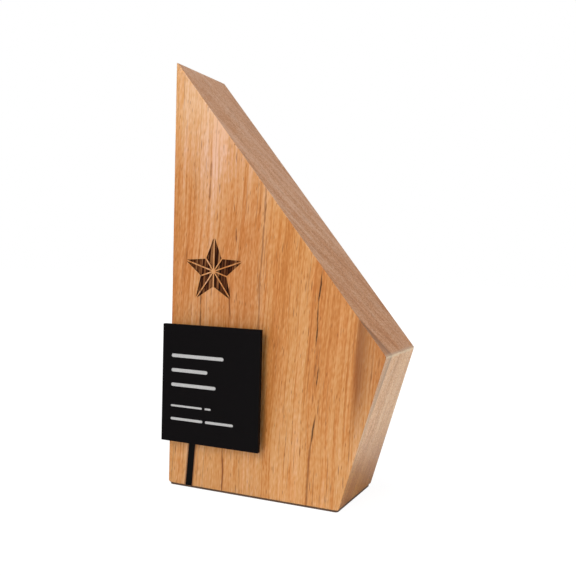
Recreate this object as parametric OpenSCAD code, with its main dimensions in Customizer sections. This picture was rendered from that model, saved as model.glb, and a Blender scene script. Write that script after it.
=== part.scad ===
// Free-standing award: an angled block of hardwood with an engraved star, a black name plate
// that floats in front of it on studs and spacers, a resin-filled vein, and a felt base pad.
// Millimetres. +Z is up, the front faces -Y, and the origin is the middle of the footprint.

/* [Block] */
// Height of the wood, from its underside to its sharp peak
block_h = 200; // [160:1:240]
// Width of the wood at its foot
foot_w = 87; // [75:1:100]
// Thickness of the wood, which is a stock dressed size
block_t = 45; // [35:1:60]
// How far the side corner stands from the straight left edge
corner_x = 106.5; // [100:0.5:125]
// Height of the side corner above the underside
corner_z = 68.5; // [50:0.5:90]

/* [Name plate] */
// Width of the plate
plate_w = 51; // [45:1:56]
// Height of the plate
plate_h = 55; // [50:1:62]
// Thickness of the plate
plate_t = 2; // [2:0.5:5]
// Radius of the plate's corners
plate_corner_r = 0.3; // [0.2:0.1:3]
// Height of the plate's lower edge above the block's underside
plate_z = 22; // [15:1:25]
// Air gap between the plate and the wood, which is the length of the spacers
plate_gap = 5; // [2:0.5:8]

/* [Inscription bars] */
// Depth of the bars, which are cut into the plate and filled with enamel
bar_depth = 0.3; // [0.2:0.05:0.4]
// Margin to the left of the bars
bar_margin = 5; // [3:0.5:8]
// Height of the first title bar's middle above the plate's lower edge
title_z = 40.4; // [36:0.1:42]
// Distance from one title bar to the next
title_pitch = 6.8; // [5:0.1:8]
// Height of a title bar
title_t = 1.6; // [1:0.1:2.4]
// Height of the small bars' middle above the plate's lower edge
small_z = 16.9; // [15:0.1:18]
// Height of a small bar
small_t = 0.9; // [0.6:0.1:1.4]
// Height of the name bars' middle above the plate's lower edge
name_z = 10.8; // [8:0.1:12]
// Height of a name bar
name_t = 1.2; // [0.8:0.1:1.8]
// Gap between two bars in one row
word_gap = 1.4; // [1:0.1:2]

/* [Star] */
// Distance of the star's middle from the block's left edge
star_x = 22.4; // [20:0.1:30]
// Height of the star's middle above the block's underside
star_z = 102; // [98:1:110]
// Radius to the star's points
star_r = 17; // [12:0.5:18]
// Radius to the notches between the points, as a share of the star's radius
star_notch = 0.44; // [0.38:0.01:0.6]
// Width of the wood left standing between two facets
star_rib = 0.6; // [0.4:0.1:1]
// Depth of the engraving
star_depth = 1; // [0.5:0.1:2]

/* [Fixings] */
// Diameter of a stud, which is a length of plain rod
stud_d = 3; // [2:0.5:3]
// Distance of a stud from the plate's nearest two edges
stud_inset = 8; // [6:0.5:9]
// Depth of a stud in the back of the plate
stud_in_plate = 1.2; // [0.8:0.1:1.3]
// Depth of a stud in the wood
stud_in_block = 10; // [6:0.5:14]
// Outer diameter of a spacer
spacer_d = 7; // [6:0.5:9]
// Diameter of a spacer's bore and of the holes in the wood
clearance_d = 3.4; // [3.2:0.1:4.6]

/* [Vein] */
// Distance of the vein's middle from the block's left edge, at the underside
vein_x = 11.2; // [11:0.1:16]
// Width of the vein at the underside
vein_w = 3.5; // [1.5:0.1:3.6]
// How far the vein bows to the right on its way up
vein_bow = 2.8; // [2:0.1:5]
// Length of the vein up the block's front
vein_len = 72; // [40:1:74]
// Depth of the resin in the vein
vein_depth = 12; // [6:1:20]

/* [Base pad] */
// Thickness of the felt
felt_t = 1; // [1:0.5:3]
// How far the felt is set in from the wood's lower edges
felt_inset = 0.4; // [0.2:0.1:3]

/* [Hidden] */
$fn = 64;

FIXINGS = ["lower_left", "lower_right", "upper_left", "upper_right"];
overall_t = block_t + plate_gap + plate_t;
thread_play = 0.05;      // radial gap between a stud and its hole in the plate
hole_end_gap = 1;        // room for adhesive past the end of a stud
edge_break = 0.3;        // small chamfer on the ends of studs and spacers
cut = 0.5;               // how far a cutter runs past the face that it opens
vein_steps = 12;
vein_wave = 110;         // half the length of the wave that the vein follows

// Each bar: its name, its left end, the height of its middle, its thickness and its length.
// Left ends count from the margin, and heights from the plate's lower edge.
BARS = [
    ["title_bar_upper", 0, title_z, title_t, 27.6],
    ["title_bar_middle", 0, title_z - title_pitch, title_t, 19.3],
    ["title_bar_lower", 0, title_z - 2 * title_pitch, title_t, 23.8],
    ["small_bar_left", 0, small_z, small_t, 16.8],
    ["small_bar_right", 16.8 + word_gap, small_z, small_t, 3.2],
    ["name_bar_left", 0, name_z, name_t, 17.2],
    ["name_bar_right", 17.2 + word_gap, name_z, name_t, 14.6],
];

// From the block's own coordinates (left edge, front face, underside) to the part's frame.
module in_place()
    translate([-corner_x / 2, plate_gap + plate_t - overall_t / 2, felt_t]) children();

// A flat shape, drawn in X and Z, given a thickness from depth y0 towards the back.
module slab(y0, thickness)
    translate([0, y0 + thickness, 0]) rotate([90, 0, 0]) linear_extrude(thickness) children();

// The middle of one fixing, in X and Z, in the order of their names.
function fixing_at(i) = [
    i % 2 == 0 ? stud_inset : plate_w - stud_inset,
    plate_z + (i < 2 ? stud_inset : plate_h - stud_inset),
];

function star_point(k) =
    let (r = k % 2 == 0 ? star_r : star_r * star_notch, a = 90 - 36 * k)
    [star_x + r * cos(a), star_z + r * sin(a)];

// A triangle drawn in by the same distance on all three sides, towards its incentre.
function drawn_in(p, q, r, by) =
    let (
        a = norm(q - r), b = norm(r - p), c = norm(p - q),
        centre = (a * p + b * q + c * r) / (a + b + c),
        area = abs((q[0] - p[0]) * (r[1] - p[1]) - (q[1] - p[1]) * (r[0] - p[0])) / 2,
        share = 1 - by * (a + b + c) / (2 * area)
    )
    [for (v = [p, q, r]) centre + share * (v - centre)];

function vein_middle(z) = vein_x + vein_bow * sin(180 * z / vein_wave);
function vein_half(z) = vein_w / 2 * (1 - pow(z / vein_len, 3));
function vein_edge(side, step) =
    let (z = vein_len * step / vein_steps) [vein_middle(z) + side * vein_half(z), z];

module star_facets()
    for (k = [0:9])
        polygon(drawn_in([star_x, star_z], star_point(k), star_point(k + 1), star_rib / 2));

// Up the vein's left side to the point at its top, and down its right side.
module vein_outline()
    polygon(concat(
        [for (step = [0:vein_steps]) vein_edge(-1, step)],
        [for (step = [vein_steps - 1:-1:0]) vein_edge(1, step)]
    ));

// A bar with round ends, where it lies on the plate.
module bar_outline(bar) {
    thickness = bar[3];
    length = bar[4];
    translate([bar_margin + bar[1], plate_z + bar[2]]) {
        translate([thickness / 2, -thickness / 2]) square([length - thickness, thickness]);
        for (x = [thickness / 2, length - thickness / 2]) translate([x, 0]) circle(d = thickness);
    }
}

module plate_outline() {
    r = plate_corner_r;
    translate([0, plate_z]) {
        translate([r, 0]) square([plate_w - 2 * r, plate_h]);
        translate([0, r]) square([plate_w, plate_h - 2 * r]);
        for (x = [r, plate_w - r], z = [r, plate_h - r]) translate([x, z]) circle(r);
    }
}

// Turns what stands on the origin to lie on a fixing's axis, from depth y0 towards the back.
module on_fixing(i, y0)
    translate([fixing_at(i)[0], y0, fixing_at(i)[1]]) rotate([-90, 0, 0]) children();

module hardwood_block() color("peru") in_place() difference() {
    slab(0, block_t) polygon([[0, 0], [foot_w, 0], [corner_x, corner_z], [0, block_h]]);
    slab(-cut, cut + star_depth) star_facets();
    slab(-cut, cut + vein_depth) {
        vein_outline();
        translate([vein_x - vein_w / 2, -cut]) square([vein_w, cut]);
    }
    for (i = [0:3])
        on_fixing(i, -cut) cylinder(d = clearance_d, h = cut + stud_in_block + hole_end_gap);
}

module vein_resin() color("black") in_place() slab(0, vein_depth) vein_outline();

module name_plate() color([0.07, 0.07, 0.07]) in_place() difference() {
    slab(-plate_gap - plate_t, plate_t) plate_outline();
    slab(-plate_gap - plate_t - cut, cut + bar_depth) for (bar = BARS) bar_outline(bar);
    for (i = [0:3])
        on_fixing(i, -plate_gap - stud_in_plate)
            cylinder(d = stud_d + 2 * thread_play, h = stud_in_plate + cut);
}

module enamel_bar(bar) color("silver") in_place() slab(-plate_gap - plate_t, bar_depth) bar_outline(bar);

// A round piece with chamfered ends, solid where the inner radius is 0.
module turned(inner_r, outer_r, length)
    rotate_extrude() polygon([
        [inner_r, 0],
        [outer_r - edge_break, 0],
        [outer_r, edge_break],
        [outer_r, length - edge_break],
        [outer_r - edge_break, length],
        [inner_r, length],
    ]);

module spacer(i) color([0.1, 0.1, 0.1]) in_place()
    on_fixing(i, -plate_gap) turned(clearance_d / 2, spacer_d / 2, plate_gap);

module stud(i) color("lightsteelblue") in_place()
    on_fixing(i, -plate_gap - stud_in_plate)
        turned(0, stud_d / 2, stud_in_plate + plate_gap + stud_in_block);

module base_felt() color([0.12, 0.1, 0.09]) in_place()
    translate([felt_inset, felt_inset, -felt_t])
        cube([foot_w - 2 * felt_inset, block_t - 2 * felt_inset, felt_t]);

hardwood_block();
vein_resin();
base_felt();
name_plate();
for (bar = BARS) enamel_bar(bar);
for (i = [0:3]) spacer(i);
for (i = [0:3]) stud(i);
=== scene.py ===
"""The looks of a free-standing wooden award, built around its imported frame.

The wood, the vein, the pad, the plate and its bars are modelled here, and the spacers and studs
are the frame's own solids. Lengths are in millimetres in the block's own coordinates, which
start at its left edge, front face and underside, and at() takes them to the row frame.
"""
import math

import bmesh
import bpy
from mathutils import Matrix, Vector, noise


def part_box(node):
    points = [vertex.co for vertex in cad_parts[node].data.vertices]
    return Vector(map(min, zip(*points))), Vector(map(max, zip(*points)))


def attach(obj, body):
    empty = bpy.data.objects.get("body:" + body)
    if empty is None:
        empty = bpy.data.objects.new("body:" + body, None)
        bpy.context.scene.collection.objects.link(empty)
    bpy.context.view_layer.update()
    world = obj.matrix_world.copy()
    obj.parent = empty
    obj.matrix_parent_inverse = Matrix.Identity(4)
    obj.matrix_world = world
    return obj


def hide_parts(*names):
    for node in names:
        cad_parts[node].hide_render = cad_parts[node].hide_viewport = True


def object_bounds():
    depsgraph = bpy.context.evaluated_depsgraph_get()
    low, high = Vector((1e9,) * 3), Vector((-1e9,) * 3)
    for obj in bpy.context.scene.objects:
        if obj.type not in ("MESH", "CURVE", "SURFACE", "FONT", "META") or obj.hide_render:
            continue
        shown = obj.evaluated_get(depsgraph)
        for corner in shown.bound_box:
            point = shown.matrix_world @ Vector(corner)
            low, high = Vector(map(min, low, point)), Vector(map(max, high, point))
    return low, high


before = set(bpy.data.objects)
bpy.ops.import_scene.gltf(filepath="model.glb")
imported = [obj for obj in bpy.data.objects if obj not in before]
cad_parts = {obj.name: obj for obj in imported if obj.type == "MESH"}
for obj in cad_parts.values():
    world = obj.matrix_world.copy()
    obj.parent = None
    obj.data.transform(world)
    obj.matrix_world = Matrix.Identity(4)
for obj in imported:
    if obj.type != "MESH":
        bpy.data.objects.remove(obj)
cad_low, cad_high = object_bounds()

MM = 0.001
block_low, block_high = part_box("hardwood_block")
BLOCK_W, BLOCK_T, BLOCK_H = (block_high - block_low) / MM

# Sizes that part.scad holds too, in millimetres.
FOOT_W = 87.0
CORNER_Z = 68.5
STAR = {"x": 22.4, "z": 102.0, "r": 17.0, "notch": 0.44, "rib": 0.6, "depth": 1.0}
VEIN = {"x": 11.2, "w": 3.5, "bow": 2.8, "len": 72.0, "wave": 110.0, "depth": 12.0}
BARS = [
    "title_bar_upper", "title_bar_middle", "title_bar_lower",
    "small_bar_left", "small_bar_right", "name_bar_left", "name_bar_right",
]

# Sizes of the finer shapes, in millimetres. An ease is the rounding along a slab's long edges.
BLOCK_CORNER_RADII = (1.2, 1.0, 0.7, 0.3)
BLOCK_EASE = 0.3
PLATE_CORNER_R = 0.3
PLATE_EASE = 0.12
BAR_EASE = 0.04
PAD_CORNER_R = 1.5
PAD_EASE = 0.2
LEAST_RADIUS = 0.02  # what is left of a corner's radius, however far its outline is drawn in
SKIN = 0.05  # how far the vein lies below the front, and how deep an engraved face is at least
OVERCUT = 1.0  # how far a cutter runs past the face that it opens
VEIN_WAVER = 0.12  # how far the vein's edges waver to either side at most
VEIN_POINT = 0.03  # half the vein's width at its top

CORNER_STEPS = 6
VEIN_STEPS = 36
SHARP_ANGLE = 40.0  # in degrees: edges that turn more than this stay sharp
ROUND_END = 0.999  # a bar's corner radius, as a share of half its height


def at(x, y, z):
    """A point given in the block's own millimetres, in the row frame."""
    return block_low + Vector((x, y, z)) * MM


def upright(u, v, w):
    """A place for outlines drawn on the front: across, up and back."""
    return at(u, w, v)


def lying(u, v, w):
    """A place for outlines drawn on the floor: across, back and up."""
    return at(u, v, w)


# ---------------------------------------------------------------- meshes

def new_piece(name, bm, replaced=()):
    """An object made of bm. One that stands for CAD nodes rides on their body."""
    bmesh.ops.recalc_face_normals(bm, faces=bm.faces)
    mesh = bpy.data.meshes.new(name)
    bm.to_mesh(mesh)
    bm.free()
    piece = bpy.data.objects.new(name, mesh)
    bpy.context.scene.collection.objects.link(piece)
    if replaced:
        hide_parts(*replaced)
        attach(piece, "root")
    return piece


def smooth(piece):
    """Shades a piece smooth, apart from its sharp edges, and keeps big faces flat."""
    piece.data.shade_smooth()
    piece.data.set_sharp_from_angle(angle=math.radians(SHARP_ANGLE))
    weighted = piece.modifiers.new("flat_faces", "WEIGHTED_NORMAL")
    weighted.keep_sharp = True


def inward(p, q):
    """The unit normal of edge p-q that points into an outline that runs anticlockwise."""
    along = (q - p).normalized()
    return Vector((-along.y, along.x))


def eased_outline(corners, radii, inset):
    """A convex anticlockwise outline drawn in by inset, with its corners rounded."""
    points = []
    for i, here in enumerate(corners):
        n_in = inward(corners[i - 1], here)
        n_out = inward(here, corners[(i + 1) % len(corners)])
        radius = max(radii[i] - inset, LEAST_RADIUS)
        reach = (inset + radius) / (1 + n_in.dot(n_out))
        centre = here + (n_in + n_out) * reach
        turn = n_in.angle_signed(n_out)
        for step in range(CORNER_STEPS + 1):
            normal = n_in.copy()
            normal.rotate(Matrix.Rotation(-turn * step / CORNER_STEPS, 2))
            points.append(centre - normal * radius)
    return points


def eased_slab(corners, radii, w0, w1, ease, place, steps=4):
    """A bmesh slab between w0 and w1 whose outline and long edges are both rounded."""
    rings = []
    profile = [math.pi / 2 * k / steps for k in range(steps + 1)]
    for angle in profile:
        rings.append((ease * (1 - math.sin(angle)), w0 + ease * (1 - math.cos(angle))))
    for angle in reversed(profile):
        rings.append((ease * (1 - math.sin(angle)), w1 - ease * (1 - math.cos(angle))))
    bm = bmesh.new()
    loops = [
        [bm.verts.new(place(p.x, p.y, w)) for p in eased_outline(corners, radii, inset)]
        for inset, w in rings
    ]
    bm.faces.new(loops[0])
    bm.faces.new(reversed(loops[-1]))
    for ring, following in zip(loops, loops[1:]):
        for i in range(len(ring)):
            bm.faces.new((ring[i], ring[i - 1], following[i - 1], following[i]))
    return bm


def prism(outline, w0, w1, place, bm):
    """Adds a straight-sided prism between w0 and w1 to bm."""
    near = [bm.verts.new(place(p.x, p.y, w0)) for p in outline]
    far = [bm.verts.new(place(p.x, p.y, w1)) for p in outline]
    bm.faces.new(near)
    bm.faces.new(reversed(far))
    for i in range(len(outline)):
        bm.faces.new((near[i], near[i - 1], far[i - 1], far[i]))


def cut(piece, cutter_bm):
    """Takes the cutter's shape out of the piece for good."""
    cutter = new_piece("cutter", cutter_bm)
    boolean = piece.modifiers.new("cut", "BOOLEAN")
    boolean.operation = "DIFFERENCE"
    boolean.solver = "EXACT"
    boolean.object = cutter
    depsgraph = bpy.context.evaluated_depsgraph_get()
    mesh = bpy.data.meshes.new_from_object(piece.evaluated_get(depsgraph))
    piece.modifiers.clear()
    piece.data = mesh
    bpy.data.objects.remove(cutter)


def star_facets():
    """The star's ten triangles, each drawn in so that a rib of wood is left between them."""
    middle = Vector((STAR["x"], STAR["z"]))

    def point(k):
        """A corner of the star: a point where k is even, and a notch where it is odd."""
        radius = STAR["r"] * (1 if k % 2 == 0 else STAR["notch"])
        angle = math.radians(90 - 36 * k)
        return middle + Vector((math.cos(angle), math.sin(angle))) * radius

    facets = []
    for k in range(10):
        p = middle
        q = point(k)
        r = point(k + 1)
        a = (q - r).length
        b = (r - p).length
        c = (p - q).length
        centre = (p * a + q * b + r * c) / (a + b + c)
        area = abs((q - p).cross(r - p)) / 2
        share = 1 - STAR["rib"] / 2 * (a + b + c) / (2 * area)
        facets.append([centre + (v - centre) * share for v in (p, q, r)])
    return facets


def vein_middle(z):
    return VEIN["x"] + VEIN["bow"] * math.sin(math.pi * z / VEIN["wave"])


def vein_half(z):
    return VEIN["w"] / 2 * (1 - (z / VEIN["len"]) ** 3)


def vein_sides(z):
    """The vein's two edges at a height, which waver a little as a natural seam does."""
    half = max(vein_half(max(z, 0.0)), VEIN_POINT)
    waver = [VEIN_WAVER * noise.noise(Vector((z * 0.22, side * 5.0, 0.0))) for side in (-1, 1)]
    share = min(half, 1.0)
    left = vein_middle(z) - half + waver[0] * share
    right = vein_middle(z) + half + waver[1] * share
    return left, right


def vein_outline(foot):
    """The vein's outline, anticlockwise, with its foot drawn down to a height."""
    heights = [VEIN["len"] * k / VEIN_STEPS for k in range(VEIN_STEPS + 1)]
    left = [Vector((vein_sides(z)[0], z)) for z in heights]
    right = [Vector((vein_sides(z)[1], z)) for z in heights]
    if foot < 0:
        left.insert(0, Vector((left[0].x, foot)))
        right.insert(0, Vector((right[0].x, foot)))
    return right + left[::-1]


def rectangle(low, high):
    """A rectangle's four corners, anticlockwise, from its lowest and its highest one."""
    return [
        Vector((low[0], low[1])),
        Vector((high[0], low[1])),
        Vector((high[0], high[1])),
        Vector((low[0], high[1])),
    ]


# ---------------------------------------------------------------- materials

def srgb(red, green, blue):
    """A colour given as it looks on a screen, from 0 to 255, as linear red, green and blue."""
    def linear(c):
        c /= 255
        return c / 12.92 if c <= 0.04045 else ((c + 0.055) / 1.055) ** 2.4
    return (linear(red), linear(green), linear(blue), 1.0)


class Graph:
    """The nodes of one material, with a short call for each kind."""

    def __init__(self, name):
        self.material = bpy.data.materials.new(name)
        self.material.use_nodes = True
        self.nodes = self.material.node_tree.nodes
        self.links = self.material.node_tree.links
        self.nodes.clear()
        self.output = self.nodes.new("ShaderNodeOutputMaterial")
        self.shader = self.nodes.new("ShaderNodeBsdfPrincipled")
        self.links.new(self.shader.outputs[0], self.output.inputs["Surface"])

    def put(self, socket, value):
        """Links a socket to another, or sets it to a plain value."""
        if isinstance(value, bpy.types.NodeSocket):
            self.links.new(value, socket)
        else:
            socket.default_value = value

    def node(self, kind, values, **settings):
        """A new node, with values for its sockets and settings for its own properties."""
        made = self.nodes.new("ShaderNode" + kind)
        for key, value in settings.items():
            setattr(made, key, value)
        for key, value in values.items():
            self.put(made.inputs[key], value)
        return made

    def set(self, **values):
        """Sets the shader's own sockets: Base_Color stands for Base Color."""
        for key, value in values.items():
            self.put(self.shader.inputs[key.replace("_", " ")], value)

    def math(self, operation, a, b=0.0):
        return self.node("Math", {0: a, 1: b}, operation=operation).outputs[0]

    def add(self, a, b):
        return self.math("ADD", a, b)

    def less(self, a, b):
        return self.math("SUBTRACT", a, b)

    def times(self, a, b):
        return self.math("MULTIPLY", a, b)

    def apart(self, a, b):
        """How far two values are from each other."""
        return self.math("ABSOLUTE", self.less(a, b))

    def swing(self, value, amount):
        """A noise's value as a swing to either side of zero."""
        return self.times(self.less(value, 0.5), amount)

    def band(self, value, low, high, to_low=0.0, to_high=1.0):
        """A smooth step from to_low to to_high as the value goes from low to high."""
        values = {"Value": value, "From Min": low, "From Max": high, "To Min": to_low, "To Max": to_high}
        return self.node("MapRange", values, interpolation_type="SMOOTHSTEP").outputs["Result"]

    def vector(self, x, y, z):
        return self.node("CombineXYZ", {"X": x, "Y": y, "Z": z}).outputs[0]

    def scaled(self, parts, sizes):
        """A vector of three values, each divided by its own size."""
        return self.vector(*(self.times(part, 1 / size) for part, size in zip(parts, sizes)))

    def noise(self, vector, detail, rough=0.5):
        values = {"Vector": vector, "Scale": 1.0, "Detail": detail, "Roughness": rough}
        return self.node("TexNoise", values).outputs["Fac"]

    def mix(self, factor, a, b, blend="MIX"):
        made = self.node("Mix", {0: factor, 6: a, 7: b}, data_type="RGBA", blend_type=blend)
        return made.outputs[2]

    def ramp(self, value, stops):
        """A colour that runs through the stops, each a position and a colour."""
        made = self.node("ValToRGB", {"Fac": value})
        elements = made.color_ramp.elements
        while len(elements) < len(stops):
            elements.new(1.0)
        for element, (position, colour) in zip(elements, stops):
            element.position = position
            element.color = colour
        return made.outputs["Color"]

    def bump(self, height, distance_mm, strength):
        values = {"Height": height, "Distance": distance_mm * MM, "Strength": strength}
        return self.node("Bump", values).outputs["Normal"]

    def millimetres(self):
        """The block's own coordinates, in millimetres, as three sockets."""
        place = self.node("TexCoord", {}).outputs["Object"]
        moved = self.node("VectorMath", {0: place, 1: tuple(-block_low)}, operation="ADD")
        scaled = self.node("VectorMath", {0: moved.outputs[0], "Scale": 1 / MM}, operation="SCALE")
        parts = self.node("SeparateXYZ", {0: scaled.outputs[0]}).outputs
        return parts["X"], parts["Y"], parts["Z"]


class Grain:
    """The wood's own directions: fibres run up the block, and growth layers cross it at a slant."""

    LEAN = 0.045  # how far the fibres lean to the right, in mm for each mm up
    SLANT = 1.5  # how far a growth layer shifts to the right, in mm for each mm of depth
    WANDER = 6.0  # how wide the slow bends of the fibres are at most, in mm

    def __init__(self, graph):
        g = graph
        self.graph = graph
        self.x, self.y, self.z = g.millimetres()
        slow = g.vector(g.times(self.x, 0.03), g.times(self.y, 0.03), g.times(self.z, 0.012))
        wander = g.swing(g.noise(slow, 1.0), self.WANDER)
        leaning = g.add(self.x, g.times(self.z, -self.LEAN))
        slanting = g.add(leaning, g.times(self.y, -self.SLANT))
        self.across = g.add(slanting, wander)

    def fibres(self, width, length, detail, rough=0.5, sheet=6.0):
        """Noise drawn out along the grain. sheet is how much deeper a feature is than it is wide."""
        g = self.graph
        place = g.scaled((self.across, self.y, self.z), (width, width * sheet, length))
        return g.noise(place, detail, rough)

    def pores(self, spacing, length, thin, keep):
        """Short dark pores, from 0 to 1. keep is the share of cells that has one."""
        g = self.graph
        flat = g.vector(g.times(self.across, 1 / spacing), g.times(self.z, 1 / length), 0.0)
        cells = g.node("TexVoronoi", {"Vector": flat, "Scale": 1.0}, voronoi_dimensions="2D")
        near = g.band(cells.outputs["Distance"], thin, thin * 0.3)
        chance = g.node("SeparateColor", {0: cells.outputs["Color"]}).outputs[0]
        return g.times(near, g.band(chance, 1.0 - keep, 1.0))

    def figure(self):
        """Soft slanting patches, where the fibres weave in and out of the surface."""
        g = self.graph
        slanting = g.add(self.across, g.times(self.z, -0.4))
        place = g.vector(g.times(slanting, 0.5), g.times(self.y, 0.3), g.times(self.z, 0.16))
        return g.noise(place, 2.0)

    def mottle(self, size):
        """Fine speckle that is the same size in all directions, as on sawn edges."""
        g = self.graph
        return g.noise(g.scaled((self.x, self.y, self.z), (size, size, size)), 1.0)

    def near_front(self):
        """From 1 at the front to 0 a few millimetres in."""
        return self.graph.band(self.y, 5.0, 1.5)

    def line(self, points, half_width, breaks):
        """A dark gum line along points (x, z) on the front, which dies out a few millimetres in."""
        g = self.graph
        middle = points[0][0]
        for (xa, za), (xb, zb) in zip(points, points[1:]):
            step = {"Value": self.z, "From Min": za, "From Max": zb, "To Min": 0.0, "To Max": xb - xa}
            middle = g.add(middle, g.node("MapRange", step).outputs["Result"])
        # Each line has a number of its own, so that no two of them waver or break alike.
        seed = points[0][0] * 3.7
        wobble = g.noise(g.vector(seed, 0.0, g.times(self.z, 0.13)), 2.0)
        middle = g.add(middle, g.swing(wobble, 0.9))
        broken = g.noise(g.vector(seed + 9.0, 0.0, g.times(self.z, 0.11)), 3.0)
        strength = g.band(broken, breaks, breaks + 0.25)
        low, high = sorted((points[0][1], points[-1][1]))
        taper = min(8.0, (high - low) * 0.4)
        for end, inner in ((low, low + taper), (high, high - taper)):
            strength = g.times(strength, g.band(self.z, end, inner))
        reach = g.add(g.times(strength, half_width), 0.001)
        off = g.math("DIVIDE", g.apart(self.x, middle), reach)
        seam = g.times(g.band(off, 1.0, 0.2), g.math("POWER", strength, 0.5))
        return g.times(seam, self.near_front())


# The wood's colours from its darkest layers to its palest.
TONES = [
    (0.0, (155, 88, 30)),
    (0.25, (172, 104, 46)),
    (0.4, (181, 115, 56)),
    (0.55, (191, 131, 73)),
    (0.7, (198, 145, 91)),
    (0.85, (205, 157, 112)),
    (1.0, (213, 172, 138)),
]
MIDDLE_TONE = 0.48
PALEST_EDGE_TONE = 0.68

DARK_FIBRE = srgb(110, 55, 18)
PORE_BROWN = srgb(98, 46, 14)
BAND_BROWN = srgb(120, 62, 14)
STAIN_BROWN = srgb(84, 34, 14)
# A painted highlight for the side corner's ridge, where its rounded edge catches the light.
RIDGE_HIGHLIGHT = srgb(196, 160, 110)
BLACK_GUM = srgb(50, 18, 5)
BROWN_GUM = srgb(96, 36, 4)

# Tints, which multiply the wood's red, green and blue.
REDDER = (1.04, 0.93, 0.86, 1.0)
PINKER = (0.97, 0.96, 1.1, 1.0)

# The tints of the two sawn faces on the right. They brighten the faces with painted light and sheen that
# grow stronger upwards, and darken the side towards the foot with painted shade: a height and the tint
# up to it, and then a height and the tint from there on.
SIDE_LIGHT_SHEEN_AND_SHADE_TINTS = ((8.0, (0.95, 0.93, 0.54, 1.0)), (40.0, (1.44, 1.96, 3.1, 1.0)))
SLOPE_LIGHT_AND_SHEEN_TINTS = ((70.0, (1.11, 1.3, 2.15, 1.0)), (195.0, (1.16, 1.46, 2.75, 1.0)))

# Gum lines on the front: points (x, z), half width, how broken up it is, strength and colour.
GUM_LINES = [
    ([(48.9, 147), (47.4, 111), (46.3, 100), (46.4, 86), (46.3, 68)], 0.7, 0.25, 0.5, BROWN_GUM),
    ([(47.5, 106), (47.2, 92), (47.6, 78)], 0.6, 0.4, 0.45, BROWN_GUM),
    ([(77.0, 106), (75.4, 92), (74.6, 76)], 0.6, 0.32, 0.9, BLACK_GUM),
    ([(75.6, 84), (74.2, 66)], 0.55, 0.34, 0.9, BLACK_GUM),
    ([(76.6, 64), (74.6, 50)], 0.5, 0.22, 0.8, BLACK_GUM),
    ([(75.7, 43), (74.1, 33), (73.2, 24)], 0.65, 0.2, 0.85, BLACK_GUM),
    ([(73.6, 32), (72.5, 20), (71.8, -5)], 0.8, 0.15, 0.55, BROWN_GUM),
    ([(15.7, 108), (15.8, 68)], 0.55, 0.25, 0.65, BLACK_GUM),
    ([(29.0, 22), (29.4, 8), (29.2, -5)], 0.65, 0.2, 0.75, BROWN_GUM),
    ([(32.1, 136), (33.5, 124), (34.7, 106)], 0.6, 0.4, 0.8, BROWN_GUM),
    ([(31.0, 100), (31.3, 86), (32.2, 76)], 0.6, 0.3, 0.7, BROWN_GUM),
    ([(20.6, 158), (19.6, 140), (18.9, 124)], 0.9, 0.35, 0.5, BROWN_GUM),
]


def wood_tone(grain, fine, edge):
    """How pale the wood is, from 0 to 1, without its pores and lines."""
    g = grain.graph
    broad_stripes = grain.fibres(11.0, 500.0, 1.0)
    growth_layers = grain.fibres(5.0, 260.0, 1.0)
    streaks = grain.fibres(1.8, 100.0, 1.0)
    flecks = grain.fibres(2.6, 28.0, 2.0)
    dashes = grain.fibres(0.6, 2.5, 0.0, sheet=2.0)
    layers = [
        (broad_stripes, 0.36),
        (growth_layers, 0.44),
        (streaks, 0.33),
        (flecks, 0.26),
        (dashes, 0.36),
        (grain.figure(), 0.3),
    ]
    tone = MIDDLE_TONE
    if edge:
        layers += [(grain.fibres(5.0, 90.0, 2.0), 0.55), (grain.mottle(0.8), 1.4)]
    else:
        # Painted sheen makes the front paler towards its peak. Towards the foot it is paler partly from
        # painted floor bounce light and partly from the wood's own tone.
        painted_sheen_at_peak = g.band(grain.z, 105.0, 190.0, 0.0, 0.42)
        foot_bounce_and_tone = g.band(grain.z, 80.0, 10.0, 0.0, 0.15)
        tone = g.add(g.add(tone, painted_sheen_at_peak), foot_bounce_and_tone)
    for layer, weight in layers:
        tone = g.add(tone, g.swing(layer, weight))
    # The troughs of these two noises darken the wood, and the rest of them lightens it a little.
    for layer, depth in ((fine, 0.13), (grain.fibres(1.0, 90.0, 1.0), 0.15)):
        tone = g.less(tone, g.band(layer, 0.52, 0.26, -0.3 * depth, depth))
    if edge:
        tone = g.math("MINIMUM", tone, PALEST_EDGE_TONE)
    return tone


def wood_colour(grain, fine, edge):
    """The colour of clean wood. A sawn edge has coarser marks and a speckle."""
    g = grain.graph
    stops = [(position, srgb(*shade)) for position, shade in TONES]
    colour = g.ramp(wood_tone(grain, fine, edge), stops)
    redder = g.band(grain.fibres(3.5, 45.0, 2.0), 0.45, 0.65)
    return g.mix(g.times(redder, 0.35), colour, REDDER, "MULTIPLY")


def brown_band(grain):
    """From 0 to 1, the brown growth layer by the side corner. Its left edge is feathered, and it
    fades towards the right and the foot."""
    g = grain.graph
    feather = g.swing(grain.fibres(1.4, 40.0, 2.0), 6.0)
    left_edge = g.band(g.add(grain.across, feather), 88.6, 91.4)
    fading = g.band(grain.across, 99.0, 91.0, 0.3, 1.0)
    return g.times(g.times(left_edge, fading), g.band(grain.z, 22.0, 60.0))


def vein_stain(grain):
    """From 0 to 1, how far the wood is stained by the vein that it borders."""
    g = grain.graph
    bow = g.times(g.math("SINE", g.times(grain.z, math.pi / VEIN["wave"])), VEIN["bow"])
    narrowing = g.math("POWER", g.times(grain.z, 1 / VEIN["len"]), 3.0)
    half = g.times(g.less(1.0, narrowing), VEIN["w"] / 2)
    from_edge = g.less(g.apart(grain.x, g.add(bow, VEIN["x"])), half)
    stain = g.times(g.band(from_edge, 1.1, 0.1), g.band(grain.z, VEIN["len"], VEIN["len"] - 10.0))
    return g.times(stain, grain.near_front())


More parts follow.
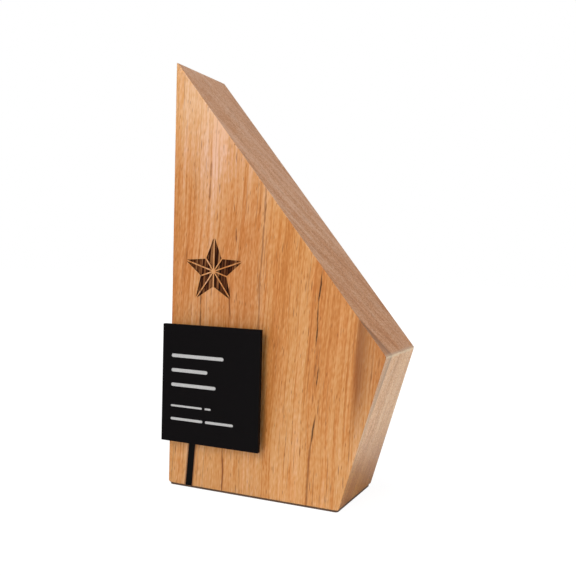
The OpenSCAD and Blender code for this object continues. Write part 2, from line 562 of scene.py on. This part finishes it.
def sawn_face_painted_light(grain, colour, painted_light_tints):
    """Gives a sawn face its tint of painted light and sheen, with painted shade low on the side,
    and paints a pale highlight along the side corner's ridge.
    """
    g = grain.graph
    # A painted highlight along the ridge between the slope and the side.
    ridge_highlight = g.band(g.apart(grain.z, CORNER_Z), 1.4, 0.3)
    colour = g.mix(g.times(ridge_highlight, 0.5), colour, RIDGE_HIGHLIGHT)
    (low, low_tint), (high, high_tint) = painted_light_tints
    tint = g.mix(g.band(grain.z, low, high), low_tint, high_tint)
    return g.mix(1.0, colour, tint, "MULTIPLY")


def front_marks(grain, colour):
    """Gives the front its pinker part, gum lines and vein stain. Returns the lines' strength too."""
    g = grain.graph
    pinker = g.times(g.band(grain.x, 60.0, 40.0), g.band(grain.z, 60.0, 90.0))
    pinker = g.times(pinker, g.band(grain.z, 180.0, 150.0))
    colour = g.mix(pinker, colour, PINKER, "MULTIPLY")
    gum = 0.0
    for points, half_width, breaks, strength, gum_colour in GUM_LINES:
        seam = g.times(grain.line(points, half_width, breaks), strength)
        colour = g.mix(seam, colour, gum_colour)
        gum = g.math("MAXIMUM", gum, seam)
    colour = g.mix(g.times(vein_stain(grain), 0.7), colour, STAIN_BROWN)
    return colour, gum


def wood(name, coat=0.0, painted_light_tints=()):
    """Oiled hardwood, planed unless it is given a sawn face's tints of painted light, sheen and shade.
    """
    g = Graph(name)
    grain = Grain(g)
    fine = grain.fibres(0.7, 22.0, 1.0)
    colour = wood_colour(grain, fine, bool(painted_light_tints))
    dark_fibres = g.band(grain.fibres(0.8, 40.0, 1.0), 0.61, 0.74)
    colour = g.mix(g.times(dark_fibres, 0.45), colour, DARK_FIBRE)
    long_pores = grain.pores(spacing=2.6, length=26.0, thin=0.12, keep=0.8)
    short_pores = grain.pores(spacing=1.3, length=9.0, thin=0.15, keep=0.6)
    pores = g.math("MAXIMUM", long_pores, short_pores)
    colour = g.mix(g.times(pores, 0.65), colour, PORE_BROWN)
    colour = g.mix(g.times(brown_band(grain), 0.8), colour, BAND_BROWN)
    roughness = g.band(fine, 0.3, 0.7, 0.28, 0.38)
    if painted_light_tints:
        colour = sawn_face_painted_light(grain, colour, painted_light_tints)
    else:
        colour, gum = front_marks(grain, colour)
        roughness = g.add(roughness, g.times(gum, 0.4))
    g.set(Base_Color=colour, Roughness=roughness, IOR=1.5, Specular_IOR_Level=0.25)
    g.set(Coat_Weight=coat, Coat_Roughness=0.32, Coat_IOR=1.5)
    g.set(Normal=g.bump(g.less(fine, g.times(pores, 0.8)), 0.03, 0.15))
    return g.material


def charred_wood():
    """The floors and walls of the engraving: burnt brown, with the grain standing out paler."""
    g = Graph("charred_wood")
    grain = Grain(g)
    ridges = grain.fibres(0.8, 60.0, 3.0, 0.6)
    colour = g.ramp(g.band(ridges, 0.34, 0.66), [
        (0.0, srgb(34, 12, 3)),
        (0.4, srgb(66, 30, 12)),
        (0.7, srgb(108, 62, 32)),
        (1.0, srgb(150, 104, 66)),
    ])
    g.set(Base_Color=colour, Roughness=0.8, Specular_IOR_Level=0.08)
    g.set(Normal=g.bump(ridges, 0.25, 0.6))
    return g.material


def resin():
    """The black filling of the vein, with a faint haze in its gloss."""
    g = Graph("black_resin")
    grain = Grain(g)
    haze = grain.fibres(2.0, 6.0, 3.0)
    g.set(Base_Color=srgb(6, 5, 5), Roughness=g.band(haze, 0.3, 0.7, 0.35, 0.5), IOR=1.5)
    g.set(Specular_IOR_Level=0.06, Normal=g.bump(haze, 0.03, 0.3))
    return g.material


def speckled(name, dark, light, size, rough, relief, **sockets):
    """A material whose colour, roughness and relief all follow a fine speckle. The speckle's size
    and relief are in millimetres, and rough is its least and greatest roughness."""
    g = Graph(name)
    speckle = g.noise(g.scaled(g.millimetres(), (size, size, size)), 3.0, 0.6)
    level = g.band(speckle, 0.35, 0.65)
    g.set(Base_Color=g.mix(level, dark, light), Roughness=g.band(level, 0.0, 1.0, *rough))
    g.set(Normal=g.bump(speckle, relief, 0.5), **sockets)
    return g.material


# ---------------------------------------------------------------- pieces

# The numbers of the block's materials, in the order in which make_block adds them.
FACE, ENGRAVING, SIDE, SLOPE = range(4)


def block_material(polygon):
    """The number of the material that one of the block's polygons has."""
    star_low = at(STAR["x"] - STAR["r"], SKIN, STAR["z"] - STAR["r"])
    star_high = at(STAR["x"] + STAR["r"], STAR["depth"] + SKIN, STAR["z"] + STAR["r"])
    if all(low < c < high for low, c, high in zip(star_low, polygon.center, star_high)):
        return ENGRAVING
    if abs(polygon.normal.y) < 0.5 and polygon.normal.x > 0.5:
        return SLOPE if polygon.normal.z > 0.3 else SIDE
    return FACE


def make_block():
    corners = [Vector(p) for p in ((0, 0), (FOOT_W, 0), (BLOCK_W, CORNER_Z), (0, BLOCK_H))]
    bm = eased_slab(corners, BLOCK_CORNER_RADII, 0.0, BLOCK_T, BLOCK_EASE, upright)
    block = new_piece("wood_block", bm, ["hardwood_block"])
    star = bmesh.new()
    for facet in star_facets():
        prism(facet, -OVERCUT, STAR["depth"], upright, star)
    cut(block, star)
    vein = bmesh.new()
    prism(vein_outline(-OVERCUT), -OVERCUT, VEIN["depth"], upright, vein)
    cut(block, vein)
    block.data.materials.append(wood("oiled_face"))
    block.data.materials.append(charred_wood())
    # The sawn faces' tints hold painted light and sheen, and painted shade low on the side.
    block.data.materials.append(wood("oiled_side", 0.3, SIDE_LIGHT_SHEEN_AND_SHADE_TINTS))
    block.data.materials.append(wood("oiled_slope", 0.5, SLOPE_LIGHT_AND_SHEEN_TINTS))
    for polygon in block.data.polygons:
        polygon.material_index = block_material(polygon)
    smooth(block)


def make_vein():
    bm = bmesh.new()
    prism(vein_outline(0.0), SKIN, VEIN["depth"], upright, bm)
    vein = new_piece("vein", bm, ["vein_resin"])
    vein.data.materials.append(resin())
    smooth(vein)


def node_box(name):
    """A CAD node's lowest and highest corners, in the block's own millimetres."""
    return [(corner - block_low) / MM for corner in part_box(name)]


def bar_radii(low, high):
    """The corner radii that give a bar round ends."""
    return ((high.z - low.z) / 2 * ROUND_END,) * 4


def make_plate():
    low, high = node_box("name_plate")
    corners = rectangle(low.xz, high.xz)
    bm = eased_slab(corners, (PLATE_CORNER_R,) * 4, low.y, high.y, PLATE_EASE, upright)
    plate = new_piece("plate", bm, ["name_plate"])
    cutter = bmesh.new()
    for name in BARS:
        bar_low, bar_high = node_box(name)
        outline = eased_outline(rectangle(bar_low.xz, bar_high.xz), bar_radii(bar_low, bar_high), 0.0)
        prism(outline, low.y - OVERCUT, bar_high.y, upright, cutter)
    cut(plate, cutter)
    plate.data.materials.append(speckled(
        "black_acrylic", srgb(5, 3, 4), srgb(10, 8, 9),
        size=0.35, rough=(0.42, 0.55), relief=0.01, Specular_IOR_Level=0.05,
    ))
    smooth(plate)


def make_bars():
    enamel = speckled(
        "light_enamel", srgb(160, 159, 159), srgb(178, 177, 176),
        size=0.5, rough=(0.45, 0.6), relief=0.02,
    )
    for name in BARS:
        low, high = node_box(name)
        corners = rectangle(low.xz, high.xz)
        bm = eased_slab(corners, bar_radii(low, high), low.y, high.y, BAR_EASE, upright, steps=2)
        bar = new_piece(name.replace("_bar", "_line"), bm, [name])
        bar.data.materials.append(enamel)
        smooth(bar)


def make_pad():
    low, high = node_box("base_felt")
    corners = rectangle(low.xy, high.xy)
    bm = eased_slab(corners, (PAD_CORNER_R,) * 4, low.z, high.z, PAD_EASE, lying)
    pad = new_piece("felt_pad", bm, ["base_felt"])
    pad.data.materials.append(speckled(
        "brown_felt", srgb(56, 38, 26), srgb(106, 78, 55),
        size=0.3, rough=(0.9, 1.0), relief=0.15, Sheen_Weight=0.3, Sheen_Roughness=0.5,
    ))
    smooth(pad)


def finish_cad_nodes():
    """Gives the frame's own spacers and studs their materials."""
    nylon = speckled(
        "black_nylon", srgb(18, 18, 18), srgb(30, 30, 30),
        size=0.4, rough=(0.5, 0.65), relief=0.02,
    )
    zinc = speckled(
        "zinc_plated_steel", srgb(150, 152, 156), srgb(196, 198, 202),
        size=0.25, rough=(0.28, 0.42), relief=0.01, Metallic=1.0,
    )
    for name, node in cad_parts.items():
        for start, material in (("spacer_", nylon), ("stud_", zinc)):
            if name.startswith(start):
                node.data.materials.clear()
                node.data.materials.append(material)


# ---------------------------------------------------------------- stage

# Sizes and distances here are in metres, angles in degrees and powers in watts.
WHITE = (1.0, 1.0, 1.0, 1.0)
FLOOR_SIZE = 6.0
FLOOR_COLOUR = (0.9, 0.9, 0.9, 1.0)
FLOOR_GLOW = 1.1
WORLD_LIGHT = 0.24  # the background's light on the object, where the camera sees it as 1

SOFTBOX_DISTANCE = 1.3
SOFTBOX_SIZE = 0.5
# Each light's name, the azimuth and elevation of the direction that it is in, and its power.
SOFTBOXES = [
    ("front", 1, 0, 6.1),
    ("front_high", 1, 28, 7.2),
    ("overhead", -15, 80, 8.6),
    ("beside", 105, 0, 6.5),
]

CAMERA_AT = (197.35, -301.3, 109.3)  # in the block's own millimetres
CAMERA_TURN = 24.43  # to the left of straight ahead
CAMERA_DOWN = 2.34
CAMERA_ROLL = 1.464
SENSOR_WIDTH = 36.0  # in millimetres, as is the lens
LENS = 46.744


def make_floor():
    """A pale floor, which the camera sees as an even white sweep with a light shadow on it."""
    bm = bmesh.new()
    bmesh.ops.create_grid(bm, x_segments=1, y_segments=1, size=FLOOR_SIZE / 2)
    floor = new_piece("floor", bm)
    floor.location.z = cad_low.z
    g = Graph("pale_floor")
    g.set(Base_Color=FLOOR_COLOUR, Roughness=0.7)
    seen = g.node("LightPath", {}).outputs["Is Camera Ray"]
    place = g.node("TexCoord", {}).outputs["Object"]
    away = g.node("VectorMath", {0: place}, operation="LENGTH").outputs["Value"]
    share = g.times(seen, g.band(away, 0.1, 0.4, 0.86, 1.0))
    glow = g.node("Emission", {"Color": WHITE, "Strength": FLOOR_GLOW}).outputs[0]
    both = g.node("MixShader", {0: share, 1: g.shader.outputs[0], 2: glow})
    g.put(g.output.inputs["Surface"], both.outputs[0])
    floor.data.materials.append(g.material)


def make_world():
    """A white background, which lights the object less strongly than it looks."""
    world = bpy.data.worlds.new("white_studio")
    bpy.context.scene.world = world
    world.use_nodes = True
    nodes = world.node_tree.nodes
    links = world.node_tree.links
    background = nodes["Background"]
    background.inputs["Color"].default_value = WHITE
    seen = nodes.new("ShaderNodeLightPath")
    strength = nodes.new("ShaderNodeMapRange")
    strength.inputs["To Min"].default_value = WORLD_LIGHT
    strength.inputs["To Max"].default_value = 1.0
    links.new(seen.outputs["Is Camera Ray"], strength.inputs["Value"])
    links.new(strength.outputs["Result"], background.inputs["Strength"])


def softbox(name, azimuth, elevation, power):
    """A square light that faces the object."""
    light = bpy.data.lights.new(name, "AREA")
    light.shape = "SQUARE"
    light.size = SOFTBOX_SIZE
    light.energy = power
    lamp = bpy.data.objects.new(name, light)
    bpy.context.scene.collection.objects.link(lamp)
    a = math.radians(azimuth)
    e = math.radians(elevation)
    away = Vector((math.sin(a) * math.cos(e), -math.cos(a) * math.cos(e), math.sin(e)))
    lamp.location = (cad_low + cad_high) / 2 + away * SOFTBOX_DISTANCE
    lamp.rotation_euler = away.to_track_quat("Z", "Y").to_euler()


def make_camera():
    camera = bpy.data.cameras.new("camera")
    camera.sensor_width = SENSOR_WIDTH
    camera.lens = LENS
    holder = bpy.data.objects.new("camera", camera)
    bpy.context.scene.collection.objects.link(holder)
    holder.matrix_world = (
        Matrix.Translation(at(*CAMERA_AT))
        @ Matrix.Rotation(math.radians(CAMERA_TURN), 4, "Z")
        @ Matrix.Rotation(math.radians(90 - CAMERA_DOWN), 4, "X")
        @ Matrix.Rotation(math.radians(CAMERA_ROLL), 4, "Z")
    )
    bpy.context.scene.camera = holder


make_camera()
make_world()
make_floor()
for light in SOFTBOXES:
    softbox(*light)
make_block()
make_vein()
make_plate()
make_bars()
make_pad()
finish_cad_nodes()
bpy.context.scene.view_settings.view_transform = "Standard"

bpy.context.view_layer.update()
